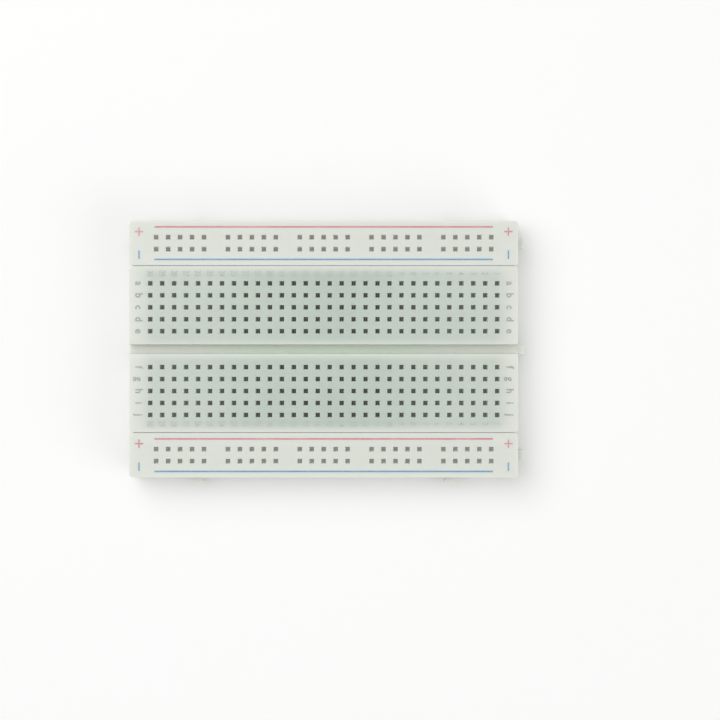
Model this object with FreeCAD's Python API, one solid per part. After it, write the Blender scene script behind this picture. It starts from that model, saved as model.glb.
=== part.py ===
"""Half-size solderless breadboard: a terminal strip between two bus strips, joined edge to edge by dovetails.

Millimetres. +X runs from column 30 to column 1, +Y from row j to row a, and +Z out of the tie-point face.
The origin is under the middle of the tie-point grid, on the underside of the release liner.

Each strip is a moulding with a square hole for every tie point. Under the holes are narrow chambers, open
below, that hold the spring clips: one clip to five tie points on the terminal strip, and one clip to a whole
row on a bus strip. Foam tape closes the chambers, and a paper liner covers its adhesive.
"""

import FreeCAD, Part

import os

from FreeCAD import Vector

# Tie-point grid
PITCH = 2.54
COLUMNS = 30
BANK_ROWS = 5  # rows a to e, and rows f to j
BANK_GAP = 7.62  # row e to row f, which a dual in-line package straddles
BUS_GROUPS = 5
BUS_GROUP_HOLES = 5
BUS_GROUP_STEP = 6  # pitches from one group of bus holes to the next

# Mouldings
END_MARGIN = 4.42  # last column's centre to the strip's end
TERMINAL_MARGIN = 3.72  # outer row's centre to the terminal strip's edge
BUS_MARGIN = 3.48  # outer row's centre to the bus strip's edge
BODY_HEIGHT = 8.5
ROOF = 1.9  # plastic above the clip chambers
RIB = 0.54  # plastic between neighbouring chambers
STRIP_GAP = 0.06
CORNER_RADIUS = 0.8
RIM_RADIUS = 0.15

# Tie-point holes: a square throat with a funnel mouth
THROAT = 0.9
MOUTH = 1.12
FUNNEL_DEPTH = 0.22

# Channel between the banks, open at both ends
CHANNEL_WIDTH = 2.0
CHANNEL_DEPTH = 2.2

# Dovetail tabs and the slots that they fit
TAB_ROOT = 1.5
TAB_TIP = 2.3
TAB_REACH = 1.4
TAB_CHAMFER = 0.35
TAB_SETBACK = 2.9  # top face down to the top of a tab
TAB_END_DISTANCE = 14.4  # strip's end to the tabs on its long side
TAB_CLEARANCE = 0.12

# Spring clips, folded from strip
CLIP_THICKNESS = 0.2
CLIP_SIDE_CLEARANCE = 0.06
CLIP_END_CLEARANCE = 0.15
CLIP_HEADROOM = 0.45  # clip below the chamber's roof
FINGER_GAP = 0.6
KNEE_HEIGHT = 1.3
FLARE_HEIGHT = 1.1
PINCH_GAP = 0.2
TIP_OVERHANG = 0.05  # finger tips stand this far outside the throat on each side

# Backing
LINER_THICKNESS = 0.12
LINER_INSET = 0.15
FOAM_THICKNESS = 1.0
FOAM_INSET = 0.3

# Printed marking on the bus strips
INK_THICKNESS = 0.03
STRIPE_WIDTH = 0.3
STRIPE_INSET = 1.3  # strip's edge to the stripe's centre
STRIPE_OVERHANG = 0.35  # stripe past the centre of the last hole
SIGN_LENGTH = 1.8
SIGN_WIDTH = 0.25
SIGN_END_DISTANCE = 2.05  # strip's end to the sign's centre
SIGN_OFFSET = 2.45  # strip's middle line to the sign's centre

# Worked out from the values above
CUT_PAST = 0.5  # how far a cutter runs past the face that it opens
STRIP_LENGTH = (COLUMNS - 1) * PITCH + 2 * END_MARGIN
BANK_SPAN = (BANK_ROWS - 1) * PITCH
TERMINAL_WIDTH = BANK_GAP + 2 * BANK_SPAN + 2 * TERMINAL_MARGIN
BUS_WIDTH = PITCH + 2 * BUS_MARGIN
BUS_CENTRE = TERMINAL_WIDTH / 2 + STRIP_GAP + BUS_WIDTH / 2
BOARD_WIDTH = 2 * BUS_CENTRE + BUS_WIDTH
BASE = LINER_THICKNESS + FOAM_THICKNESS
TOP = BASE + BODY_HEIGHT
CEILING = TOP - ROOF
TAB_TOP = TOP - TAB_SETBACK
TAB_X = STRIP_LENGTH / 2 - TAB_END_DISTANCE
CHAMBER_WIDTH = PITCH - RIB
CLIP_WIDTH = CHAMBER_WIDTH - 2 * CLIP_SIDE_CLEARANCE
CLIP_TOP = CEILING - CLIP_HEADROOM
FINGER_WIDTH = PITCH - FINGER_GAP
CHAMBER_END = FINGER_WIDTH / 2 + CLIP_END_CLEARANCE  # last hole's centre to the end of its chamber

COLUMN_X = [((COLUMNS - 1) / 2 - column) * PITCH for column in range(COLUMNS)]  # column 1 first
BANK_ROW_Y = [BANK_GAP / 2 + row * PITCH for row in range(BANK_ROWS)]  # upper bank, row e first
BUS_PITCHES = [
    group * BUS_GROUP_STEP + hole for group in range(BUS_GROUPS) for hole in range(BUS_GROUP_HOLES)
]
BUS_X = [(step - BUS_PITCHES[-1] / 2) * PITCH for step in BUS_PITCHES]
BUS_ROW_Y = (PITCH / 2, -PITCH / 2)  # from the strip's middle line


def centred_box(x_size, y_size, low, high, x=0.0, y=0.0):
    """A box centred on (x, y), from height low to height high."""
    return Part.makeBox(x_size, y_size, high - low, Vector(x - x_size / 2, y - y_size / 2, low))


def moulded_block(length, width, y):
    """A strip's plain block, with rounded corners and a rounded rim to its top face."""
    block = centred_box(length, width, BASE, TOP, y=y)
    corners = [edge for edge in block.Edges if edge.BoundBox.ZLength > BODY_HEIGHT / 2]
    block = block.makeFillet(CORNER_RADIUS, corners)
    rim = [edge for edge in block.Edges if edge.BoundBox.ZMin > TOP - RIM_RADIUS / 2]
    return block.makeFillet(RIM_RADIUS, rim)


def dovetail(x, y, direction, low, high, growth=0.0):
    """A dovetail prism whose root lies at (x, y) and which widens along direction, in degrees from +X.

    growth makes the slot's cutter: the same outline, larger all round, that starts outside the face.
    """
    root, tip = TAB_ROOT / 2 + growth, TAB_TIP / 2 + growth
    reach, start = TAB_REACH + growth, -TAB_CHAMFER - growth
    half = [(start, root), (0.0, root), (reach - TAB_CHAMFER, tip), (reach, tip - TAB_CHAMFER)]
    outline = half + [(along, -across) for along, across in reversed(half)]
    points = [Vector(along, across, low) for along, across in outline]
    prism = Part.Face(Part.makePolygon(points + points[:1])).extrude(Vector(0, 0, high - low))
    prism.rotate(Vector(0, 0, 0), Vector(0, 0, 1), direction)
    prism.translate(Vector(x, y, 0))
    return prism


def tab_places(width, y):
    """Where a strip's tabs are rooted: two on its -Y edge and one on its +X end, with their directions."""
    edge = [(x, y - width / 2, -90.0) for x in (-TAB_X, TAB_X)]
    return edge + [(STRIP_LENGTH / 2, y, 0.0)]


def slot_cutters(width, y):
    """The slots for a neighbour's tabs: two on the +Y edge and one on the -X end, closed at the top."""
    places = [(x, y + width / 2 + STRIP_GAP, -90.0) for x in (-TAB_X, TAB_X)]
    places.append((-STRIP_LENGTH / 2 - STRIP_GAP, y, 0.0))
    low, high = -CUT_PAST, TAB_TOP + TAB_CLEARANCE
    return [dovetail(x, y_root, turn, low, high, TAB_CLEARANCE) for x, y_root, turn in places]


def tie_hole_cutter(x, y):
    """The cutter for one tie point: a square throat up from the chamber, and a funnel at the top face."""
    slope = (MOUTH - THROAT) / FUNNEL_DEPTH
    sections = (
        (CEILING - CUT_PAST, THROAT),
        (TOP - FUNNEL_DEPTH, THROAT),
        (TOP + CUT_PAST, MOUTH + slope * CUT_PAST),
    )
    squares = []
    for height, side in sections:
        corners = [(-1, -1), (1, -1), (1, 1), (-1, 1), (-1, -1)]
        points = [Vector(x + i * side / 2, y + j * side / 2, height) for i, j in corners]
        squares.append(Part.makePolygon(points))
    return Part.makeLoft(squares, True, True)


def strip_housing(width, y, chambers, holes, extra_cutters=()):
    """A moulded strip: block and tabs, less the slots, the clip chambers and the tie-point holes."""
    block = moulded_block(STRIP_LENGTH, width, y)
    tabs = [dovetail(x, y_root, turn, BASE, TAB_TOP) for x, y_root, turn in tab_places(width, y)]
    body = block.fuse(tabs)
    body = body.cut(slot_cutters(width, y) + list(extra_cutters))
    body = body.cut(chambers)
    return body.cut([tie_hole_cutter(x, hole_y) for x, hole_y in holes])


def terminal_housing():
    """The middle strip, with 30 columns of five tie points in each bank and the channel between them."""
    bank_centre = BANK_GAP / 2 + BANK_SPAN / 2
    chamber_length = BANK_SPAN + 2 * CHAMBER_END
    chambers = [
        centred_box(CHAMBER_WIDTH, chamber_length, BASE - CUT_PAST, CEILING, x, side * bank_centre)
        for x in COLUMN_X
        for side in (1, -1)
    ]
    holes = [(x, side * y) for x in COLUMN_X for y in BANK_ROW_Y for side in (1, -1)]
    channel = centred_box(
        STRIP_LENGTH + 2 * CUT_PAST, CHANNEL_WIDTH, TOP - CHANNEL_DEPTH, TOP + CUT_PAST
    )
    return strip_housing(TERMINAL_WIDTH, 0.0, chambers, holes, [channel])


def bus_housing(y):
    """A bus strip, with two rows of tie points in groups of five."""
    chamber_length = BUS_X[-1] - BUS_X[0] + 2 * CHAMBER_END
    chambers = [
        centred_box(chamber_length, CHAMBER_WIDTH, BASE - CUT_PAST, CEILING, 0.0, y + row)
        for row in BUS_ROW_Y
    ]
    holes = [(x, y + row) for x in BUS_X for row in BUS_ROW_Y]
    return strip_housing(BUS_WIDTH, y, chambers, holes)


def spring_clip(offsets):
    """A clip along Y, centred on X: a spine with a pair of sprung fingers at each offset.

    Across the clip, a pair rises from the spine, leans in to the pinch and flares out again at the tips.
    """
    foot = (CLIP_WIDTH - CLIP_THICKNESS) / 2
    pinch = (PINCH_GAP + CLIP_THICKNESS) / 2
    tip = THROAT / 2 + TIP_OVERHANG
    middle_line = [
        (foot, BASE),
        (foot, BASE + KNEE_HEIGHT),
        (pinch, CLIP_TOP - FLARE_HEIGHT),
        (tip, CLIP_TOP),
    ]
    half = CLIP_THICKNESS / 2
    section = [(x + half, z) for x, z in middle_line] + [(x - half, z) for x, z in reversed(middle_line)]
    spine_low, spine_high = min(offsets) - FINGER_WIDTH / 2, max(offsets) + FINGER_WIDTH / 2
    pieces = [
        centred_box(
            CLIP_WIDTH,
            spine_high - spine_low,
            BASE,
            BASE + CLIP_THICKNESS,
            y=(spine_low + spine_high) / 2,
        )
    ]
    for offset in offsets:
        for side in (1, -1):
            points = [Vector(side * x, offset - FINGER_WIDTH / 2, z) for x, z in section]
            finger = Part.Face(Part.makePolygon(points + points[:1]))
            pieces.append(finger.extrude(Vector(0, FINGER_WIDTH, 0)))
    return pieces[0].fuse(pieces[1:]).removeSplitter()


def terminal_clip_pairs():
    """One node to a column: its clip for rows a to e, and its clip for rows f to j."""
    clip = spring_clip(BANK_ROW_Y)
    mirrored = clip.mirror(Vector(0, 0, 0), Vector(0, 1, 0))
    pairs = {}
    for column, x in enumerate(COLUMN_X, start=1):
        pair = [shape.copy() for shape in (clip, mirrored)]
        for shape in pair:
            shape.translate(Vector(x, 0, 0))
        pairs[f"contact_clips_column_{column:02d}"] = Part.makeCompound(pair)
    return pairs


def bus_clip(y):
    """One clip that links a whole row of bus tie points."""
    clip = spring_clip(BUS_X)
    clip.rotate(Vector(0, 0, 0), Vector(0, 0, 1), -90.0)
    clip.translate(Vector(0, y, 0))
    return clip


def foam_tape(width, y):
    """The adhesive foam under one strip, notched where the neighbours' tabs drop in."""
    pad = centred_box(STRIP_LENGTH - 2 * FOAM_INSET, width - 2 * FOAM_INSET, LINER_THICKNESS, BASE, y=y)
    return pad.cut(slot_cutters(width, y))


def release_liner():
    """The peel-off paper, one sheet under all three strips."""
    return centred_box(
        STRIP_LENGTH - 2 * LINER_INSET, BOARD_WIDTH - 2 * LINER_INSET, 0.0, LINER_THICKNESS
    )


def bus_marking(y, side, plus):
    """The ink beside one row of a bus strip: its stripe, and a plus or minus sign at each end.

    side is 1 for the row nearer +Y, and -1 for the other. Signs read with column 1 at the top, so a minus
    sign lies along Y.
    """
    high = TOP + INK_THICKNESS
    stripe_length = BUS_X[-1] - BUS_X[0] + 2 * STRIPE_OVERHANG
    stripe_y = y + side * (BUS_WIDTH / 2 - STRIPE_INSET)
    ink = [centred_box(stripe_length, STRIPE_WIDTH, TOP, high, y=stripe_y)]
    for end in (1, -1):
        x = end * (STRIP_LENGTH / 2 - SIGN_END_DISTANCE)
        sign = centred_box(SIGN_WIDTH, SIGN_LENGTH, TOP, high, x, y + side * SIGN_OFFSET)
        if plus:
            bar = centred_box(SIGN_LENGTH, SIGN_WIDTH, TOP, high, x, y + side * SIGN_OFFSET)
            sign = sign.fuse(bar).removeSplitter()
        ink.append(sign)
    return Part.makeCompound(ink)


def build():
    """Every sub-part by its node's name."""
    parts = {
        "terminal_strip_housing": terminal_housing(),
        "terminal_foam_tape": foam_tape(TERMINAL_WIDTH, 0.0),
        "release_liner": release_liner(),
    }
    parts.update(terminal_clip_pairs())
    for name, y in (("upper", BUS_CENTRE), ("lower", -BUS_CENTRE)):
        parts[f"{name}_bus_housing"] = bus_housing(y)
        parts[f"{name}_foam_tape"] = foam_tape(BUS_WIDTH, y)
        for sign, side in (("positive", 1), ("negative", -1)):
            parts[f"{name}_{sign}_bus_clip"] = bus_clip(y + side * PITCH / 2)
            parts[f"{name}_{sign}_marking"] = bus_marking(y, side, sign == "positive")
    return parts


os.makedirs("parts", exist_ok=True)
for node, shape in build().items():
    shape.exportStep(f"parts/{node}.step")
    solids = len(shape.Solids)
    print(f"{node}: {solids} solid{'s' if solids > 1 else ''}, {shape.Volume:.1f} mm3, valid {shape.isValid()}")
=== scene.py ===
"""Solderless breadboard: three moulded strips on foam tape, with spring clips under the tie points.

Metres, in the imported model's frame: +X towards column 1, +Y towards row a, and +Z out of the face
that the tie points are in.
"""

import math

import bmesh
import bpy
from mathutils import Matrix, Vector


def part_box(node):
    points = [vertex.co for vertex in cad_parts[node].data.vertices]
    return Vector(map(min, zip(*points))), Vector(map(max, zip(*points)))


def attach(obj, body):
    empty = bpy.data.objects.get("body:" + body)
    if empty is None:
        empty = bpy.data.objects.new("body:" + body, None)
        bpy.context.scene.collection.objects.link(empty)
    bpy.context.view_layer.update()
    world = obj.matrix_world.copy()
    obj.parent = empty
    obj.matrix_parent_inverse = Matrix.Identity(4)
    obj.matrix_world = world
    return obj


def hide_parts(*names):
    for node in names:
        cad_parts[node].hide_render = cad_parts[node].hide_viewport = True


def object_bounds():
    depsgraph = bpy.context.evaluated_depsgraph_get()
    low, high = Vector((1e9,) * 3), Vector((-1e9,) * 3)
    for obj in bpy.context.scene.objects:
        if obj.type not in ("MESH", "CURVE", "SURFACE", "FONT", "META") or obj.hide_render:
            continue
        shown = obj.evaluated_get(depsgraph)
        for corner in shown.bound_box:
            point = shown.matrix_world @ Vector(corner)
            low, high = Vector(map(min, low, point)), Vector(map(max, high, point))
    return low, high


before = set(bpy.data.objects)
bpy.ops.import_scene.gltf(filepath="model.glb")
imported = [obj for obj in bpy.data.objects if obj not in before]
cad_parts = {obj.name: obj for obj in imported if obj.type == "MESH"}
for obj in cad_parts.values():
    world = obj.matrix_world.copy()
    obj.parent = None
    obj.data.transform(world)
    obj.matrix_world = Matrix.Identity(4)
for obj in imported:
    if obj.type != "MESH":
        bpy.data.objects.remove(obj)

cad_low, cad_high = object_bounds()
mm = 0.001


# The viewpoint: straight down on the tie points from about half a metre, with the board left of
# the middle of the view.
viewing_height = 550 * mm
view_width = 152.8 * mm
view_centre = Vector((7.7 * mm, -2.3 * mm, 0))
sensor_width = 36  # millimetres, as Blender counts a lens
board_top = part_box("terminal_strip_housing")[1].z

camera_data = bpy.data.cameras.new("viewpoint")
camera_data.sensor_width = sensor_width
camera_data.lens = sensor_width * viewing_height / view_width
camera_data.clip_start = 10 * mm
camera = bpy.data.objects.new("viewpoint", camera_data)
camera.location = view_centre + Vector((0, 0, board_top + viewing_height))
bpy.context.collection.objects.link(camera)
bpy.context.scene.camera = camera


# The studio: a bright even sky, one large soft lamp high on the left and a weaker one low on the
# right. Colours are shown plainly, with no film curve.
bpy.context.scene.view_settings.view_transform = "Standard"
sky = bpy.data.worlds.new("studio_sky")
sky.use_nodes = True
sky_light = sky.node_tree.nodes["Background"].inputs
sky_light["Color"].default_value = (1.0, 1.0, 1.0, 1)
sky_light["Strength"].default_value = 0.58
bpy.context.scene.world = sky


def soft_lamp(name, place, size, watts):
    data = bpy.data.lights.new(name, "AREA")
    data.shape = "SQUARE"
    data.size = size
    data.energy = watts
    lamp = bpy.data.objects.new(name, data)
    lamp.location = place
    lamp.rotation_euler = (-Vector(place)).to_track_quat("-Z", "Y").to_euler()
    bpy.context.collection.objects.link(lamp)


soft_lamp("key_lamp", place=(-0.40, 0.32, 0.9), size=0.9, watts=5.0)
soft_lamp("fill_lamp", place=(0.75, -0.45, 0.5), size=0.8, watts=2.35)


# The floor: a plain pale sheet with a dull finish, level with the underside of the release liner
# and much wider than any view of the board.
floor_reach = 12.0
square_corners = ((-1, -1), (1, -1), (1, 1), (-1, 1))
floor_mesh = bpy.data.meshes.new("floor")
floor_corners = [(x * floor_reach, y * floor_reach, cad_low.z) for x, y in square_corners]
floor_mesh.from_pydata(floor_corners, [], [(0, 1, 2, 3)])
floor = bpy.data.objects.new("floor", floor_mesh)
bpy.context.collection.objects.link(floor)
floor_paint = bpy.data.materials.new("pale_floor")
floor_paint.use_nodes = True
floor_finish = floor_paint.node_tree.nodes["Principled BSDF"].inputs
floor_finish["Base Color"].default_value = (0.97, 0.97, 0.965, 1)
floor_finish["Roughness"].default_value = 0.7
floor_mesh.materials.append(floor_paint)


# The three strips: mouldings in milky off-white ABS, cloudy enough that the metal under the tie
# points shows through as a grey-green shade, which is painted into their colour. The channel and
# the holes carry painted shade too, and a painted glow lies deep in the chambers. Their faces
# carry the fine grain of a spark-eroded mould, every edge is slightly soft, and dovetail tabs
# join them edge to edge.
def new_material(name):
    material = bpy.data.materials.new(name)
    material.use_nodes = True
    return material, material.node_tree, material.node_tree.nodes["Principled BSDF"]


def add_node(tree, kind, inputs=None, **settings):
    """One node, with its settings, and each input set to a value or linked to an output."""
    node = tree.nodes.new(kind)
    for key, value in settings.items():
        setattr(node, key, value)
    for key, value in (inputs or {}).items():
        if isinstance(value, bpy.types.NodeSocket):
            tree.links.new(value, node.inputs[key])
        else:
            node.inputs[key].default_value = value
    return node


def work_out(tree, operation, *values):
    return add_node(tree, "ShaderNodeMath", dict(enumerate(values)), operation=operation).outputs[0]


def blend_colours(tree, amount, first, second):
    colours = {"Factor": amount, 6: first, 7: second}  # sockets 6 and 7 are the two colours
    return add_node(tree, "ShaderNodeMix", colours, data_type="RGBA").outputs[2]


def ease(tree, value, low, high, start=0.0, end=1.0):
    """value eased from start at low to end at high."""
    limits = {"Value": value, "From Min": low, "From Max": high, "To Min": start, "To Max": end}
    return add_node(tree, "ShaderNodeMapRange", limits, interpolation_type="SMOOTHSTEP").outputs[0]


def band(tree, value, low, high, softness):
    """1 between low and high, eased to 0 over softness outside them."""
    rising = ease(tree, value, low - softness, low)
    falling = ease(tree, value, high + softness, high)
    return work_out(tree, "MULTIPLY", rising, falling)


def noise(tree, place, scale, detail):
    inputs = {"Vector": place, "Scale": scale, "Detail": detail, "Roughness": 0.6}
    return add_node(tree, "ShaderNodeTexNoise", inputs).outputs["Fac"]


def grain_group():
    """Surface grain: fine and broad noise, each on its own and mixed as a height."""
    tree = bpy.data.node_groups.new("surface_grain", "ShaderNodeTree")
    tree.interface.new_socket("Place", in_out="INPUT", socket_type="NodeSocketVector")
    for name in ("Fine Scale", "Broad Scale", "Fine Share"):
        tree.interface.new_socket(name, in_out="INPUT", socket_type="NodeSocketFloat")
    for name in ("Height", "Fine", "Broad"):
        tree.interface.new_socket(name, in_out="OUTPUT", socket_type="NodeSocketFloat")
    given = tree.nodes.new("NodeGroupInput").outputs
    fine = noise(tree, given["Place"], given["Fine Scale"], 3.0)
    broad = noise(tree, given["Place"], given["Broad Scale"], 2.0)
    height = add_node(tree, "ShaderNodeMix", {0: given["Fine Share"], 2: broad, 3: fine}).outputs[0]
    add_node(tree, "NodeGroupOutput", {"Height": height, "Fine": fine, "Broad": broad})
    return tree


surface_grain = grain_group()


def grain(tree, place, fine_scale, broad_scale, fine_share):
    node = add_node(tree, "ShaderNodeGroup", node_tree=surface_grain)
    tree.links.new(place, node.inputs["Place"])
    node.inputs["Fine Scale"].default_value = fine_scale
    node.inputs["Broad Scale"].default_value = broad_scale
    node.inputs["Fine Share"].default_value = fine_share
    return node.outputs


def bump(tree, shader, height, strength, depth):
    values = {"Strength": strength, "Distance": depth, "Height": height}
    tree.links.new(add_node(tree, "ShaderNodeBump", values).outputs[0], shader.inputs["Normal"])


milky = (0.735, 0.755, 0.700, 1)
# painted shade over the clip banks, for light that soaks into the milky plastic and is lost to the
# metal below
bank_shade = (0.440, 0.530, 0.460, 1)
# painted shade on the walls and floor of the channel
channel_shade = (0.665, 0.735, 0.640, 1)
# painted shade down the throats of the tie points, darker in the banks than in the bus rows
hole_shade = (0.400, 0.430, 0.400, 1)
bus_hole_shade = (0.480, 0.490, 0.470, 1)
bank_glow = (0.120, 0.135, 0.125, 1)  # painted glow, for light that soaks through the face into the clip chambers
bus_glow = (0.260, 0.265, 0.250, 1)
bank_band = (2.7 * mm, 15.5 * mm)  # where the clips lie, from the board's middle line
bus_band = (20.9 * mm, 24.1 * mm)
last_hole_x = 36.83 * mm
end_share = 0.70  # how much of the painted shade is left towards the ends of the board
cloud_share = (0.66, 0.80)  # and where the plastic is cloudiest and clearest
# share of the painted shade that lies over the bus rows
bus_share = 0.10
channel_edge = (1.3 * mm, 0.9 * mm)
throat_softness = 0.6 * mm


def milky_abs():
    material, tree, shader = new_material("milky_abs")
    place = add_node(tree, "ShaderNodeTexCoord").outputs["Object"]
    x, y, z = add_node(tree, "ShaderNodeSeparateXYZ", {0: place}).outputs
    along = work_out(tree, "ABSOLUTE", x)
    across = work_out(tree, "ABSOLUTE", y)
    marks = grain(tree, place, fine_scale=5200.0, broad_scale=170.0, fine_share=0.25)
    cloud = noise(tree, place, scale=85.0, detail=3.0)

    def both(*amounts):
        return work_out(tree, "MULTIPLY", *amounts)

    def from_top(first, last):
        return ease(tree, z, board_top - first, board_top - last)

    # painted shade where the metal shows through: strongest mid-board, lighter towards the ends,
    # gone past the last holes
    over_metal = ease(tree, along, last_hole_x + 3.8 * mm, last_hole_x - 1.2 * mm)
    over_bank = both(band(tree, across, *bank_band, 2.4 * mm), over_metal)
    over_bus = both(band(tree, across, *bus_band, 1.6 * mm), over_metal)
    amount = both(over_bank, ease(tree, along, 34 * mm, 4 * mm, start=end_share))
    amount = both(amount, ease(tree, cloud, 0.25, 0.7, *cloud_share))
    amount = work_out(tree, "ADD", amount, both(over_bus, bus_share))
    colour = blend_colours(tree, amount, milky, bank_shade)

    # painted shade in the channel, lighter towards its ends
    in_channel = both(ease(tree, across, *channel_edge), from_top(0.2 * mm, 1.2 * mm))
    in_channel = both(in_channel, ease(tree, along, 36 * mm, 10 * mm))
    colour = blend_colours(tree, in_channel, colour, channel_shade)

    # painted shade down the throats of the tie points, darker in the banks than in the bus rows
    within_ends = ease(tree, along, last_hole_x + 1.37 * mm, last_hole_x + 1.17 * mm)
    in_throat = both(from_top(0.3 * mm, 0.9 * mm), within_ends)
    in_bank = both(in_throat, band(tree, across, *bank_band, throat_softness))
    in_bus = both(in_throat, band(tree, across, *bus_band, throat_softness))
    colour = blend_colours(tree, in_bank, colour, hole_shade)
    colour = blend_colours(tree, in_bus, colour, bus_hole_shade)
    tree.links.new(colour, shader.inputs["Base Color"])

    # a painted glow deep in the holes, for light that soaks through the face into the chambers
    deep_down = from_top(1.3 * mm, 2.0 * mm)
    glow = blend_colours(tree, both(in_bank, deep_down), (0, 0, 0, 1), bank_glow)
    glow = blend_colours(tree, both(in_bus, deep_down), glow, bus_glow)
    tree.links.new(glow, shader.inputs["Emission Color"])
    shader.inputs["Emission Strength"].default_value = 1.0

    bump(tree, shader, marks["Height"], strength=0.35, depth=0.02 * mm)
    roughness = ease(tree, marks["Fine"], 0.3, 0.7, start=0.34, end=0.46)
    tree.links.new(roughness, shader.inputs["Roughness"])
    shader.inputs["Subsurface Weight"].default_value = 0.55
    shader.inputs["Subsurface Radius"].default_value = (1.0, 1.0, 0.8)
    shader.inputs["Subsurface Scale"].default_value = 0.9 * mm
    shader.inputs["IOR"].default_value = 1.53
    return material


grid_pitch = 2.54 * mm
first_row_y = 3.81 * mm
bank_columns, bank_rows = 30, 5
bus_columns, bus_rows = 29, 2
bus_centre_y = 22.5 * mm
group_step = 6  # pitches from one group of five bus holes to the next
same_place = 1e-7
board_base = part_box("terminal_strip_housing")[0].z
roof_underside = board_top - 1.9 * mm
chamber_half = 1.0 * mm
mouth_profile = (  # half-width and depth of the funnel and the throat below it
    (0.56 * mm, 0.0),
    (0.54 * mm, 0.02 * mm),
    (0.475 * mm, 0.13 * mm),
    (0.455 * mm, 0.19 * mm),
    (0.45 * mm, 0.24 * mm),
    (0.45 * mm, board_top - roof_underside),
)
corner_radius = 0.8 * mm
rim_radius = 0.15 * mm
foot_softness = 0.08 * mm
frame_part, tie_point_part, blank_part = 0, 1, 2


def add_patch(shape, part, points):
    """One face on its own corners, which are joined to its neighbours' at the end."""
    corners = []
    for point in points:
        if not corners or (Vector(point) - corners[-1]).length > same_place:
            corners.append(Vector(point))
    if (corners[0] - corners[-1]).length < same_place:
        corners.pop()
    if len(corners) > 2:
        face = shape.faces.new([shape.verts.new(corner) for corner in corners])
        face[shape.faces.layers.int["part"]] = part


def add_cell(shape, part, turned):
    """One pitch of moulding: its face, with or without a tie-point hole, and its share of chamber.

    The chamber runs along Y, or along X if turned. The four sides are left open for the next cells.
    """
    half, chamber = grid_pitch / 2, chamber_half

    def patch(*points):
        add_patch(shape, part, [(y, x, z) if turned else (x, y, z) for x, y, z in points])

    def square(across, along, z):
        return [(x * across, y * along, z) for x, y in square_corners]

    corners = square(half, half, board_top)
    near = [(-chamber, -half, board_top), (chamber, -half, board_top)]
    far = [(chamber, half, board_top), (-chamber, half, board_top)]
    ceiling = square(chamber, half, roof_underside)
    if part == tie_point_part:
        rings = [square(width, width, board_top - depth) for width, depth in mouth_profile]
        mouth = rings[0]
        patch(corners[0], *near, corners[1], mouth[1], mouth[0])
        patch(corners[1], corners[2], mouth[2], mouth[1])
        patch(corners[2], *far, corners[3], mouth[3], mouth[2])
        patch(corners[3], corners[0], mouth[0], mouth[3])
        for upper, lower in zip(rings, rings[1:]):
            for i in range(4):
                patch(upper[i], upper[i - 1], lower[i - 1], lower[i])
        for i in range(4):
            patch(ceiling[i], ceiling[i - 1], rings[-1][i - 1], rings[-1][i])
    else:
        patch(corners[0], *near, corners[1], corners[2], *far, corners[3])
        patch(*ceiling)
    for side in (-1, 1):
        wall, border = side * chamber, side * half
        upper = [(wall, -half, roof_underside), (wall, half, roof_underside)]
        patch(*upper, (wall, half, board_base), (wall, -half, board_base))
        rib = ((wall, -half), (border, -half), (border, half), (wall, half))
        patch(*[(x, y, board_base) for x, y in rib])


def add_surround(shape, half_length, half_width, y_centre, xs, ys, windows, end_walls):
    """The strip round its cells: face, rim, side walls, underside and the chambers' end walls."""
    inner_x, inner_y = half_length - corner_radius, half_width - corner_radius
    xs = [-inner_x, *xs, inner_x]
    ys = [-inner_y, *ys, inner_y]
    for x0, x1 in zip(xs, xs[1:]):
        for y0, y1 in zip(ys, ys[1:]):
            middle = ((x0 + x1) / 2, (y0 + y1) / 2)
            if not any(abs(middle[0]) < x and low < middle[1] < high for x, low, high in windows):
                for z in (board_top, board_base):
                    corners = ((x0, y0), (x1, y0), (x1, y1), (x0, y1))
                    add_patch(shape, frame_part, [(x, y + y_centre, z) for x, y in corners])
    for start, end in end_walls:
        foot = [(x, y + y_centre, board_base) for x, y in (start, end)]
        head = [(x, y + y_centre, roof_underside) for x, y in (end, start)]
        add_patch(shape, frame_part, foot + head)

    profile = [(0.0, board_top), (corner_radius - rim_radius, board_top)]
    for turn in (30, 60, 90):
        across, down = math.sin(math.radians(turn)), 1 - math.cos(math.radians(turn))
        profile.append((corner_radius - rim_radius * (1 - across), board_top - rim_radius * down))
    profile.append((corner_radius, board_base + foot_softness))
    profile.append((corner_radius - foot_softness, board_base))
    profile.append((0.0, board_base))
    sides = (
        ([(x, -inner_y) for x in xs], -90),
        ([(inner_x, y) for y in ys], 0),
        ([(x, inner_y) for x in reversed(xs)], 90),
        ([(-inner_x, y) for y in reversed(ys)], 180),
    )
    spokes = []
    for points, facing in sides:
        spokes += [(point, facing) for point in points]
        spokes += [(points[-1], facing + turn) for turn in (15, 30, 45, 60, 75)]
    spokes.append(spokes[0])
    columns = []
    for (x, y), facing in spokes:
        out = Vector((math.cos(math.radians(facing)), math.sin(math.radians(facing)), 0))
        columns.append([Vector((x, y + y_centre, z)) + out * reach for reach, z in profile])
    for first, second in zip(columns, columns[1:]):
        for i in range(len(profile) - 1):
            add_patch(shape, frame_part, [first[i], first[i + 1], second[i + 1], second[i]])


def new_geometry_tree(name, inputs):
    """A Geometry Nodes tree with named inputs, and what its nodes are given."""
    tree = bpy.data.node_groups.new(name, "GeometryNodeTree")
    tree.interface.new_socket("Geometry", in_out="INPUT", socket_type="NodeSocketGeometry")
    for input_name, kind in inputs.items():
        tree.interface.new_socket(input_name, in_out="INPUT", socket_type="NodeSocket" + kind)
    tree.interface.new_socket("Geometry", in_out="OUTPUT", socket_type="NodeSocketGeometry")
    return tree, tree.nodes.new("NodeGroupInput").outputs


def realized(tree, geometry):
    return add_node(tree, "GeometryNodeRealizeInstances", {0: geometry}).outputs[0]


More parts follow.
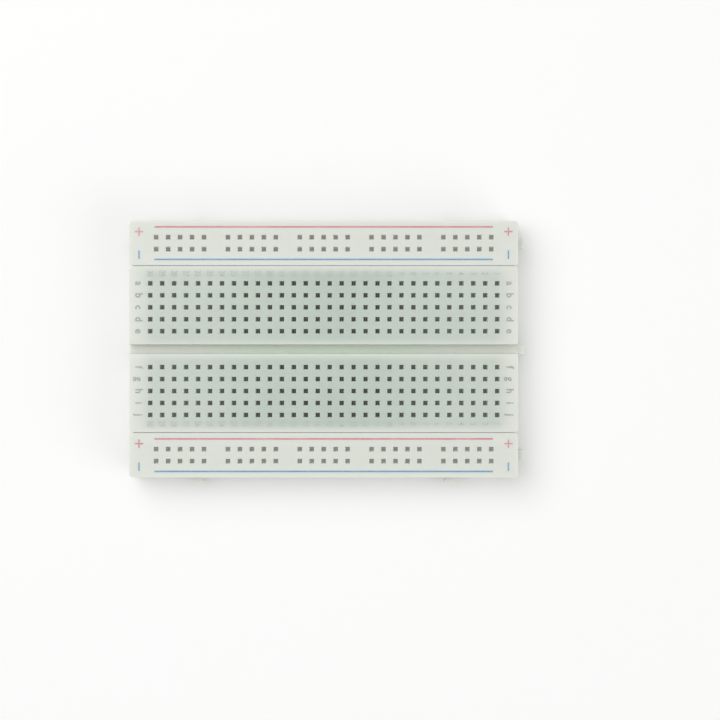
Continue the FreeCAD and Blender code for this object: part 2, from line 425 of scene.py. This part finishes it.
def welded(tree, geometry):
    values = {"Geometry": geometry, "Distance": 1e-6}
    return add_node(tree, "GeometryNodeMergeByDistance", values).outputs[0]


def vector(tree, x=0.0, y=0.0, z=0.0):
    return add_node(tree, "ShaderNodeCombineXYZ", {0: x, 1: y, 2: z}).outputs[0]


def join(tree, *pieces):
    joined = tree.nodes.new("GeometryNodeJoinGeometry")
    for piece in pieces:
        tree.links.new(piece, joined.inputs[0])
    return joined.outputs[0]


def place_copies(tree, points, piece, **more):
    values = {"Points": points, "Instance": piece, **more}
    return add_node(tree, "GeometryNodeInstanceOnPoints", values).outputs[0]


def group_gap(tree, number, step):
    """1 where a numbered place is the blank one at the end of its group, and 0 at a tie point."""
    in_group = work_out(tree, "MODULO", number, step)
    return work_out(tree, "COMPARE", in_group, work_out(tree, "SUBTRACT", step, 1.0), 0.5)


def finish_tree(tree, geometry, material):
    values = {"Geometry": geometry, "Material": material}
    finished = add_node(tree, "GeometryNodeSetMaterial", values).outputs[0]
    add_node(tree, "NodeGroupOutput", {0: finished})


def tie_point_tree():
    """Repeats the tie-point cell over each bank, and joins the cells to the strip round them."""
    sizes = {
        "Pitch": "Float",
        "Columns": "Int",
        "Rows": "Int",
        "Banks": "Int",
        "Bank Spacing": "Float",
        "Centre Y": "Float",
        "Group Step": "Int",
        "Plastic": "Material",
    }
    tree, given = new_geometry_tree("tie_point_grid", sizes)
    part = add_node(tree, "GeometryNodeInputNamedAttribute", {"Name": "part"}, data_type="INT")

    def take_out(geometry, number):
        chosen = work_out(tree, "COMPARE", part.outputs[0], float(number), 0.5)
        values = {"Geometry": geometry, "Selection": chosen}
        return add_node(tree, "GeometryNodeSeparateGeometry", values, domain="FACE").outputs

    def span(count, step):
        return work_out(tree, "MULTIPLY", work_out(tree, "SUBTRACT", count, 1.0), step)

    cell, rest = take_out(given["Geometry"], tie_point_part)
    blank, surround = take_out(rest, blank_part)

    length = span(given["Columns"], given["Pitch"])
    grid = {"Size X": length, "Size Y": span(given["Rows"], given["Pitch"])}
    grid.update({"Vertices X": given["Columns"], "Vertices Y": given["Rows"]})
    bank = add_node(tree, "GeometryNodeMeshGrid", grid).outputs["Mesh"]
    half_span = work_out(tree, "MULTIPLY", span(given["Banks"], given["Bank Spacing"]), 0.5)
    line = {
        "Count": given["Banks"],
        "Start Location": vector(tree, y=work_out(tree, "SUBTRACT", given["Centre Y"], half_span)),
        "Offset": vector(tree, y=given["Bank Spacing"]),
    }
    banks = add_node(tree, "GeometryNodeMeshLine", line, mode="OFFSET").outputs[0]
    places = realized(tree, place_copies(tree, banks, bank))

    position = add_node(tree, "GeometryNodeInputPosition").outputs[0]
    x = add_node(tree, "ShaderNodeSeparateXYZ", {0: position}).outputs["X"]
    from_first = work_out(tree, "ADD", x, work_out(tree, "MULTIPLY", length, 0.5))
    column = work_out(tree, "ROUND", work_out(tree, "DIVIDE", from_first, given["Pitch"]))
    is_gap = group_gap(tree, column, given["Group Step"])
    is_hole = work_out(tree, "SUBTRACT", 1.0, is_gap)
    holes = place_copies(tree, places, cell, Selection=is_hole)
    blanks = place_copies(tree, places, blank, Selection=is_gap)
    values = {"Geometry": join(tree, surround, holes, blanks), "Name": "part"}
    whole = add_node(tree, "GeometryNodeRemoveAttribute", values).outputs[0]
    finish_tree(tree, welded(tree, realized(tree, whole)), given["Plastic"])
    return tree


def new_piece(name, shape, material):
    mesh = bpy.data.meshes.new(name)
    mesh.materials.append(material)
    shape.to_mesh(mesh)
    shape.free()
    piece = bpy.data.objects.new(name, mesh)
    bpy.context.collection.objects.link(piece)
    return piece


def work_in_modifiers(piece):
    """Turns the piece into a plain mesh as its modifiers leave it."""
    bpy.context.view_layer.update()
    finished = piece.evaluated_get(bpy.context.evaluated_depsgraph_get())
    mesh = bpy.data.meshes.new_from_object(finished)
    piece.modifiers.clear()
    piece.data = mesh


def run_tree(piece, tree, values):
    """Runs a Geometry Nodes tree on the piece, with its inputs given by name."""
    modifier = piece.modifiers.new(tree.name, "NODES")
    modifier.node_group = tree
    for item in tree.interface.items_tree:
        if item.in_out == "INPUT" and item.name in values:
            modifier[item.identifier] = values[item.name]
    work_in_modifiers(piece)
    if piece.data.materials[0] is None:
        piece.data.materials.pop(index=0)


def turn_faces_out(mesh):
    shape = bmesh.new()
    shape.from_mesh(mesh)
    bmesh.ops.recalc_face_normals(shape, faces=shape.faces)
    shape.to_mesh(mesh)
    shape.free()


def add_prism(shape, outline, low, high, softness=0.0):
    """A prism on an outline of (x, y) points, from low to high, with its top edges softened."""
    bottom = [shape.verts.new((x, y, low)) for x, y in outline]
    base = shape.faces.new(bottom)
    made = bmesh.ops.extrude_face_region(shape, geom=[base])["geom"]
    raised = [item for item in made if isinstance(item, bmesh.types.BMVert)]
    for corner in raised:
        corner.co.z = high
    if softness:
        edges = [item for item in made if isinstance(item, bmesh.types.BMEdge)]
        bmesh.ops.bevel(shape, geom=edges, offset=softness, segments=2, profile=0.5, affect="EDGES")


tab_root, tab_tip = 0.75 * mm, 1.15 * mm  # half-widths
tab_reach = 1.4 * mm
tab_foot = board_base + 0.02 * mm
tab_top = board_top - 2.9 * mm
tab_edge = 0.12 * mm
tab_clearance = 0.12 * mm
strip_gap = 0.06 * mm
tab_x = 26.85 * mm
cut_past = 1.0 * mm
tab_outline = [  # reach and half-width, from inside the strip to the rounded tip
    (-0.3 * mm, tab_root),
    (0.0, tab_root),
    (tab_reach - 0.50 * mm, tab_tip - 0.08 * mm),
    (tab_reach - 0.28 * mm, tab_tip - 0.05 * mm),
    (tab_reach - 0.10 * mm, tab_tip - 0.18 * mm),
    (tab_reach, tab_tip - 0.42 * mm),
]
slot_outline = [  # the same with clearance, and a mouth that is eased open
    (-0.5 * mm, tab_root + tab_clearance + 0.1 * mm),
    (strip_gap, tab_root + tab_clearance + 0.1 * mm),
    (strip_gap + 0.1 * mm, tab_root + tab_clearance + 0.03 * mm),
    (tab_reach - 0.35 * mm, tab_tip + tab_clearance),
    (tab_reach + tab_clearance, tab_tip + tab_clearance - 0.3 * mm),
]


def add_dovetail(shape, outline, x, y, facing, low, high, softness=0.0):
    """A tab or a slot rooted at (x, y) and facing in degrees."""
    turn = Matrix.Rotation(math.radians(facing), 2)
    whole = outline + [(reach, -across) for reach, across in reversed(outline)]
    placed = [turn @ Vector(point) + Vector((x, y)) for point in whole]
    add_prism(shape, placed, low, high, softness)


def tabs_and_slots(half_length, half_width, y_centre):
    """A strip's tabs, on its column 1 end and one long edge, and the slots opposite them."""
    tabs, slots = bmesh.new(), bmesh.new()
    tab_places = [(x, y_centre - half_width, -90) for x in (-tab_x, tab_x)]
    tab_places.append((half_length, y_centre, 0))
    slot_places = [(x, y_centre + half_width + strip_gap, -90) for x in (-tab_x, tab_x)]
    slot_places.append((-half_length - strip_gap, y_centre, 0))
    for place in tab_places:
        add_dovetail(tabs, tab_outline, *place, low=tab_foot, high=tab_top, softness=tab_edge)
    slot_top = tab_top + tab_clearance
    for place in slot_places:
        add_dovetail(slots, slot_outline, *place, low=board_base - cut_past, high=slot_top)
    return tabs, slots


def combine(piece, shape, operation):
    """Joins a shape to the piece, or cuts it out."""
    bmesh.ops.recalc_face_normals(shape, faces=shape.faces)
    tool = new_piece("tool", shape, plastic)
    change = piece.modifiers.new("change", "BOOLEAN")
    change.operation = operation
    change.solver = "EXACT"
    change.material_mode = "TRANSFER"
    change.object = tool
    work_in_modifiers(piece)
    bpy.data.objects.remove(tool)


sharp_angle = math.radians(48)


def even_shading(piece):
    """Smooth over soft edges, flat over flat faces, and crisp where the moulding is sharp."""
    piece.data.shade_smooth()
    piece.data.set_sharp_from_angle(angle=sharp_angle)
    flat = piece.modifiers.new("flat_faces", "WEIGHTED_NORMAL")
    flat.mode = "FACE_AREA"
    flat.weight = 100
    flat.keep_sharp = True
    work_in_modifiers(piece)


channel_half = 1.0 * mm
channel_floor = board_top - 2.2 * mm
channel_outline = [  # half-width and height: rounded lips, upright sides and a rounded floor
    (channel_half + 0.14 * mm, board_top + cut_past),
    (channel_half + 0.14 * mm, board_top),
    (channel_half + 0.06 * mm, board_top - 0.02 * mm),
    (channel_half + 0.015 * mm, board_top - 0.07 * mm),
    (channel_half, board_top - 0.16 * mm),
    (channel_half, channel_floor + 0.25 * mm),
    (channel_half - 0.07 * mm, channel_floor + 0.08 * mm),
    (channel_half - 0.25 * mm, channel_floor),
]


def channel_cutter(half_length):
    """The channel between the banks: a prism on its outline, laid along the strip."""
    outline = channel_outline + [(-y, z) for y, z in reversed(channel_outline)]
    shape = bmesh.new()
    add_prism(shape, outline, -half_length - cut_past, half_length + cut_past)
    lay_down = Matrix(((0, 0, 1, 0), (1, 0, 0, 0), (0, 1, 0, 0), (0, 0, 0, 1)))
    bmesh.ops.transform(shape, matrix=lay_down, verts=shape.verts)
    return shape


def strip_surround(half_length, half_width, y_centre, centres, columns, rows, turned):
    """The strip with a window for each bank's cells, and the walls at the ends of its chambers."""

    def middles(count):
        return [(i - (count - 1) / 2) * grid_pitch for i in range(count)]

    def borders(count):
        return [(i - count / 2) * grid_pitch for i in range(count + 1)]

    def sides_of(places, reach):
        return [place + side * reach for place in places for side in (-1, 1)]

    window_x, window_y = columns * grid_pitch / 2, rows * grid_pitch / 2
    windows = [(window_x, centre - window_y, centre + window_y) for centre in centres]
    xs = borders(columns)
    ys = [centre + y for centre in centres for y in borders(rows)]
    if turned:
        row_ys = [centre + y for centre in centres for y in middles(rows)]
        ys += sides_of(row_ys, chamber_half)
        ends = [(x, y) for x in (-window_x, window_x) for y in row_ys]
        end_walls = [((x, y - chamber_half), (x, y + chamber_half)) for x, y in ends]
    else:
        xs += sides_of(middles(columns), chamber_half)
        ends = [(x, y) for x in middles(columns) for y in sides_of(centres, window_y)]
        end_walls = [((x - chamber_half, y), (x + chamber_half, y)) for x, y in ends]
    xs, ys = sorted(xs), sorted(ys)
    shape = bmesh.new()
    shape.faces.layers.int.new("part")
    add_surround(shape, half_length, half_width, y_centre, xs, ys, windows, end_walls)
    return shape


def moulded_strip(name, body, replaced, columns, rows, bank_ys, step, turned):
    """One strip on its bank or banks of tie points, which are centred on bank_ys."""
    low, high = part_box(replaced)
    y_centre = sum(bank_ys) / len(bank_ys)
    half_length, half_width = -low.x, high.y - y_centre
    centres = [y - y_centre for y in bank_ys]
    shape = strip_surround(half_length, half_width, y_centre, centres, columns, rows, turned)
    add_cell(shape, tie_point_part, turned)
    add_cell(shape, blank_part, turned)
    strip = new_piece(name, shape, plastic)
    values = {
        "Pitch": grid_pitch,
        "Columns": columns,
        "Rows": rows,
        "Banks": len(bank_ys),
        "Bank Spacing": bank_ys[-1] - bank_ys[0],
        "Centre Y": y_centre,
        "Group Step": step,
        "Plastic": plastic,
    }
    run_tree(strip, tie_point_grid, values)
    turn_faces_out(strip.data)
    tabs, slots = tabs_and_slots(half_length, half_width, y_centre)
    combine(strip, slots, "DIFFERENCE")
    combine(strip, tabs, "UNION")
    if len(bank_ys) == 2:
        combine(strip, channel_cutter(half_length), "DIFFERENCE")
    even_shading(strip)
    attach(strip, body)
    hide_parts(replaced)


plastic = milky_abs()
tie_point_grid = tie_point_tree()
bank_y = first_row_y + (bank_rows - 1) / 2 * grid_pitch
no_gaps = bank_columns + 1  # more than the columns, so no place is blank
moulded_strip(
    "terminal_moulding",
    "terminal_strip",
    "terminal_strip_housing",
    columns=bank_columns,
    rows=bank_rows,
    bank_ys=(-bank_y, bank_y),
    step=no_gaps,
    turned=False,
)
for side, bus_y in (("upper", bus_centre_y), ("lower", -bus_centre_y)):
    moulded_strip(
        f"{side}_bus_moulding",
        f"{side}_bus_strip",
        f"{side}_bus_housing",
        columns=bus_columns,
        rows=bus_rows,
        bank_ys=(bus_y,),
        step=group_step,
        turned=True,
    )


# The printed marking: thin pad-printed ink. Each bus row has its stripe and signs in red or blue,
# and the terminal strip has its row letters and column numbers in a grey that barely stands out.
def printing_ink(name, colour, worn):
    """Pad-printed ink that thins out in specks and patches."""
    material, tree, shader = new_material(name)
    place = add_node(tree, "ShaderNodeTexCoord").outputs["Object"]
    marks = grain(tree, place, fine_scale=3800.0, broad_scale=260.0, fine_share=0.6)
    specks = ease(tree, marks["Fine"], 0.48, 0.72, start=0.0, end=0.6)
    patches = ease(tree, marks["Broad"], 0.4, 0.75, start=0.0, end=0.35)
    thin = work_out(tree, "ADD", specks, patches)
    tree.links.new(blend_colours(tree, thin, colour, worn), shader.inputs["Base Color"])
    bump(tree, shader, marks["Height"], strength=0.3, depth=0.01 * mm)
    shader.inputs["Roughness"].default_value = 0.42
    return material


red_ink = printing_ink("stripe_red_ink", (0.66, 0.20, 0.25, 1), (0.74, 0.50, 0.49, 1))
blue_ink = printing_ink("stripe_blue_ink", (0.11, 0.33, 0.54, 1), (0.35, 0.52, 0.63, 1))
for strip in ("upper", "lower"):
    for sign, ink in (("positive", red_ink), ("negative", blue_ink)):
        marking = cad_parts[f"{strip}_{sign}_marking"].data
        marking.materials.clear()
        marking.materials.append(ink)

ink_thickness = 0.03 * mm


def printed_words(name, words, material, size, squeeze, boldness, centred):
    """One mesh of printed words, each at its (x, y), which read with column 1 at the top."""
    joined = bmesh.new()
    for text, (x, y) in words:
        curve = bpy.data.curves.new(name, "FONT")
        curve.body = text
        curve.size = size
        curve.offset = boldness
        curve.resolution_u = 3
        curve.extrude = ink_thickness / 2
        curve.align_x = "CENTER"
        letter = bpy.data.objects.new(name, curve)
        mesh = bpy.data.meshes.new_from_object(letter)
        bpy.data.objects.remove(letter)
        bpy.data.curves.remove(curve)
        heights = [vertex.co.y for vertex in mesh.vertices]
        middle = (min(heights) + max(heights)) / 2 if centred else 0.0
        mesh.transform(
            Matrix.Translation((x, y, board_top + ink_thickness / 2))
            @ Matrix.Rotation(-math.pi / 2, 4, "Z")
            @ Matrix.Diagonal((squeeze, 1, 1, 1))
            @ Matrix.Translation((0, -middle, 0))
        )
        joined.from_mesh(mesh)
        bpy.data.meshes.remove(mesh)
    bmesh.ops.remove_doubles(joined, verts=joined.verts, dist=same_place)
    bmesh.ops.dissolve_degenerate(joined, edges=joined.edges, dist=1e-6)
    bmesh.ops.recalc_face_normals(joined, faces=joined.faces)
    piece = new_piece(name, joined, material)
    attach(piece, "terminal_strip")


letter_xs = (-39.95 * mm, 38.80 * mm)
half_bank = [first_row_y + row * grid_pitch for row in range(bank_rows)]
row_ys = [*reversed(half_bank), *[-y for y in half_bank]]  # row a first
printed_words(
    "row_letters",
    [(letter, (x, y)) for letter, y in zip("abcdefghij", row_ys) for x in letter_xs],
    printing_ink("row_letter_ink", (0.33, 0.36, 0.33, 1), (0.53, 0.56, 0.52, 1)),
    size=2.25 * mm,
    squeeze=0.92,
    boldness=0.02 * mm,
    centred=False,
)

number_ys = (16.05 * mm, -15.85 * mm)
first_column_x = (bank_columns - 1) / 2 * grid_pitch
column_xs = [first_column_x - place * grid_pitch for place in range(bank_columns)]
printed_words(
    "column_numbers",
    [(str(column), (x, y)) for column, x in enumerate(column_xs, 1) for y in number_ys],
    printing_ink("column_number_ink", (0.48, 0.53, 0.47, 1), (0.62, 0.67, 0.61, 1)),
    size=1.8 * mm,
    squeeze=0.70,
    boldness=0.01 * mm,
    centred=True,
)


# The spring clips: phosphor bronze strip, folded up into pairs of sprung fingers along a spine and
# then nickel plated. One clip takes the five tie points of a column, or a whole row of a bus
# strip. A little light reaches them through the milky plastic, which is painted on as a faint glow.
bright_nickel, dull_nickel = (0.82, 0.80, 0.76, 1), (0.66, 0.63, 0.57, 1)
bank_clip_glow = (0.012, 0.014, 0.013, 1), (0.026, 0.029, 0.027, 1)  # painted glow mid-board, and at its ends
bus_clip_glow = (0.068, 0.072, 0.070, 1)
bus_from_y = 19 * mm


def plated_bronze():
    material, tree, shader = new_material("nickel_plated_bronze")
    place = add_node(tree, "ShaderNodeTexCoord").outputs["Object"]
    stretch = {"Vector": place, "Scale": (1.0, 1.0, 0.06)}  # into lines drawn up the fingers
    drawn = add_node(tree, "ShaderNodeMapping", stretch).outputs[0]
    lines = grain(tree, drawn, fine_scale=9000.0, broad_scale=1500.0, fine_share=0.7)
    tarnish = ease(tree, noise(tree, place, scale=500.0, detail=3.0), 0.35, 0.7)
    colour = blend_colours(tree, tarnish, bright_nickel, dull_nickel)
    tree.links.new(colour, shader.inputs["Base Color"])
    roughness = ease(tree, lines["Fine"], 0.3, 0.7, start=0.24, end=0.42)
    tree.links.new(roughness, shader.inputs["Roughness"])
    bump(tree, shader, lines["Height"], strength=0.25, depth=0.01 * mm)
    # a faint painted glow, stronger towards the ends of the board and on the bus clips
    x, y, _ = add_node(tree, "ShaderNodeSeparateXYZ", {0: place}).outputs
    to_end = ease(tree, work_out(tree, "ABSOLUTE", x), 8 * mm, 30 * mm)
    in_bus = work_out(tree, "GREATER_THAN", work_out(tree, "ABSOLUTE", y), bus_from_y)
    glow = blend_colours(tree, to_end, *bank_clip_glow)
    glow = blend_colours(tree, in_bus, glow, bus_clip_glow)
    tree.links.new(glow, shader.inputs["Emission Color"])
    shader.inputs["Emission Strength"].default_value = 1.0
    shader.inputs["Metallic"].default_value = 1.0
    return material


def clip_tree():
    """Each edge of the input becomes a clip, with a pair of fingers at every tie point."""
    sizes = {
        "Tie Points": "Int",
        "Group Step": "Int",
        "Turn": "Float",
        "Spine Length": "Float",
        "Strip Width": "Float",
        "Strip Thickness": "Float",
        "Finger Width": "Float",
        "Finger Height": "Float",
        "Knee Height": "Float",
        "Flare Height": "Float",
        "Pinch Offset": "Float",
        "Tip Offset": "Float",
        "Tip Taper": "Float",
        "Metal": "Material",
    }
    tree, given = new_geometry_tree("spring_clips", sizes)

    def node(kind, inputs=None, **settings):
        return add_node(tree, kind, inputs, **settings)

    def maths(operation, *values):
        return work_out(tree, operation, *values)

    # a finger: a flat leaf stood up, leant in to the pinch, flared at its tip, and made thick
    height, thickness = given["Finger Height"], given["Strip Thickness"]
    half_thickness = maths("MULTIPLY", thickness, 0.5)
    grid = {"Size X": height, "Size Y": given["Finger Width"], "Vertices X": 13, "Vertices Y": 2}
    leaf = node("GeometryNodeMeshGrid", grid).outputs["Mesh"]
    spot = node("ShaderNodeSeparateXYZ", {0: node("GeometryNodeInputPosition").outputs[0]}).outputs
    rise = maths("ADD", spot["X"], maths("MULTIPLY", height, 0.5))
    pinch_height = maths("SUBTRACT", height, given["Flare Height"])
    foot = maths("MULTIPLY", maths("SUBTRACT", given["Strip Width"], thickness), 0.5)
    leant = ease(tree, rise, given["Knee Height"], pinch_height)
    flared = ease(tree, rise, pinch_height, height)
    lean = maths("MULTIPLY", leant, maths("SUBTRACT", given["Pinch Offset"], foot))
    flare = maths("MULTIPLY", flared, maths("SUBTRACT", given["Tip Offset"], given["Pinch Offset"]))
    offset = maths("SUBTRACT", maths("ADD", maths("ADD", foot, lean), flare), half_thickness)
    width = maths("SUBTRACT", 1.0, maths("MULTIPLY", flared, given["Tip Taper"]))
    shaped = vector(tree, offset, maths("MULTIPLY", spot["Y"], width), rise)
    leaf = node("GeometryNodeSetPosition", {"Geometry": leaf, "Position": shaped}).outputs[0]
    push = {"Mesh": leaf, "Offset": vector(tree, thickness), "Offset Scale": 1.0}
    push["Individual"] = False
    thick = node("GeometryNodeExtrudeMesh", push).outputs["Mesh"]
    back = node("GeometryNodeFlipFaces", {0: leaf}).outputs[0]
    finger = welded(tree, join(tree, thick, back))
    half_turn = {"Geometry": finger, "Rotation": vector(tree, z=math.pi)}
    opposite = node("GeometryNodeTransform", half_turn).outputs[0]

    turn = vector(tree, z=given["Turn"])
    line = node("GeometryNodeMeshToCurve", {"Mesh": given["Geometry"]}).outputs[0]
    count = {"Curve": line, "Count": given["Tie Points"]}
    points = node("GeometryNodeCurveToPoints", count, mode="COUNT").outputs[0]
    number = maths("MODULO", node("GeometryNodeInputIndex").outputs[0], given["Tie Points"])
    is_hole = maths("SUBTRACT", 1.0, group_gap(tree, number, given["Group Step"]))
    pair = join(tree, finger, opposite)
    fingers = place_copies(tree, points, pair, Selection=is_hole, Rotation=turn)

    size = vector(tree, given["Strip Width"], given["Spine Length"], thickness)
    spine = node("GeometryNodeMeshCube", {"Size": size}).outputs["Mesh"]
    lifted = {"Geometry": spine, "Translation": vector(tree, z=half_thickness)}
    spine = node("GeometryNodeTransform", lifted).outputs[0]
    middles = node("GeometryNodeMeshToPoints", {"Mesh": given["Geometry"]}, mode="EDGES")
    spines = place_copies(tree, middles.outputs[0], spine, Rotation=turn)
    finish_tree(tree, realized(tree, join(tree, fingers, spines)), given["Metal"])
    return tree


clip_low, clip_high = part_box("contact_clips_column_01")
clip_thickness = 0.2 * mm
finger_spacing = 0.6 * mm
finger_width = grid_pitch - finger_spacing
knee_height, flare_height = 1.3 * mm, 1.1 * mm
pinch_offset, tip_offset = 0.2 * mm, 0.5 * mm  # middle of the leaf from the middle of the clip
tip_taper = 0.25
spring_clips = clip_tree()
nickel = plated_bronze()


def add_clips(name, body, ends, tie_points, turned, replaced):
    """The clips between each pair of ends, which are their first and last tie points."""
    shape = bmesh.new()
    for first, last in ends:
        shape.edges.new([shape.verts.new((x, y, clip_low.z)) for x, y in (first, last)])
    clips = new_piece(name, shape, nickel)
    values = {
        "Tie Points": tie_points,
        "Group Step": group_step,
        "Turn": math.pi / 2 if turned else 0.0,
        "Spine Length": (tie_points - 1) * grid_pitch + finger_width,
        "Strip Width": clip_high.x - clip_low.x,
        "Strip Thickness": clip_thickness,
        "Finger Width": finger_width,
        "Finger Height": clip_high.z - clip_low.z,
        "Knee Height": knee_height,
        "Flare Height": flare_height,
        "Pinch Offset": pinch_offset,
        "Tip Offset": tip_offset,
        "Tip Taper": tip_taper,
        "Metal": nickel,
    }
    run_tree(clips, spring_clips, values)
    turn_faces_out(clips.data)
    even_shading(clips)
    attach(clips, body)
    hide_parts(*replaced)


first_y, last_y = half_bank[0], half_bank[-1]
column_ends = [((x, side * first_y), (x, side * last_y)) for x in column_xs for side in (1, -1)]
column_nodes = [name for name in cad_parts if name.startswith("contact_clips_column")]
add_clips(
    "terminal_clips",
    "terminal_strip",
    ends=column_ends,
    tie_points=bank_rows,
    turned=False,
    replaced=column_nodes,
)
bus_end = (bus_columns - 1) / 2 * grid_pitch
for side, bus_y in (("upper", bus_centre_y), ("lower", -bus_centre_y)):
    clip_rows = (bus_y + grid_pitch / 2, bus_y - grid_pitch / 2)
    add_clips(
        f"{side}_bus_clips",
        f"{side}_bus_strip",
        ends=[((-bus_end, y), (bus_end, y)) for y in clip_rows],
        tie_points=bus_columns,
        turned=True,
        replaced=[f"{side}_positive_bus_clip", f"{side}_negative_bus_clip"],
    )


# The foam tapes: one to a strip, of white closed-cell foam with adhesive on both faces, closing
# the chambers from below. They are die-cut, so the cells show along their sides, and their edges
# are slightly rounded.
cell_wall, cell_hollow = (0.62, 0.60, 0.54, 1), (0.78, 0.77, 0.72, 1)
foam_edge = 0.13 * mm
flat_angle, edge_angle = math.radians(1), math.radians(30)


def cellular_foam():
    material, tree, shader = new_material("closed_cell_foam")
    values = {"Vector": add_node(tree, "ShaderNodeTexCoord").outputs["Object"], "Scale": 5200.0}
    cells = add_node(tree, "ShaderNodeTexVoronoi", values, feature="DISTANCE_TO_EDGE")
    from_wall = ease(tree, cells.outputs["Distance"], 0.0, 0.25)
    colour = blend_colours(tree, from_wall, cell_wall, cell_hollow)
    tree.links.new(colour, shader.inputs["Base Color"])
    bump(tree, shader, from_wall, strength=0.8, depth=0.06 * mm)
    shader.inputs["Roughness"].default_value = 0.8
    return material


def foam_tape(name, body, node):
    """A copy of the cut tape with its loose triangles joined and its edges rounded."""
    shape = bmesh.new()
    shape.from_mesh(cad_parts[node].data)
    bmesh.ops.remove_doubles(shape, verts=shape.verts, dist=0.002 * mm)
    bmesh.ops.dissolve_limit(shape, angle_limit=flat_angle, verts=shape.verts, edges=shape.edges)
    edges = [edge for edge in shape.edges if edge.calc_face_angle() > edge_angle]
    bmesh.ops.bevel(shape, geom=edges, offset=foam_edge, segments=3, profile=0.5, affect="EDGES")
    bmesh.ops.recalc_face_normals(shape, faces=shape.faces)
    tape = new_piece(name, shape, foam)
    even_shading(tape)
    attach(tape, body)
    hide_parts(node)


foam = cellular_foam()
foam_tape("terminal_foam", "terminal_strip", "terminal_foam_tape")
foam_tape("upper_bus_foam", "upper_bus_strip", "upper_foam_tape")
foam_tape("lower_bus_foam", "lower_bus_strip", "lower_foam_tape")


# The release liner: one sheet of waxed paper, which covers the adhesive of all three tapes until
# the board is stuck down.
buff, pale_buff = (0.78, 0.72, 0.56, 1), (0.84, 0.79, 0.65, 1)


def waxed_paper():
    material, tree, shader = new_material("waxed_liner_paper")
    place = add_node(tree, "ShaderNodeTexCoord").outputs["Object"]
    fibres = grain(tree, place, fine_scale=2600.0, broad_scale=400.0, fine_share=0.6)
    colour = blend_colours(tree, ease(tree, fibres["Fine"], 0.3, 0.7), buff, pale_buff)
    tree.links.new(colour, shader.inputs["Base Color"])
    bump(tree, shader, fibres["Height"], strength=0.3, depth=0.02 * mm)
    shader.inputs["Roughness"].default_value = 0.38
    return material


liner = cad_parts["release_liner"].data
liner.materials.clear()
liner.materials.append(waxed_paper())
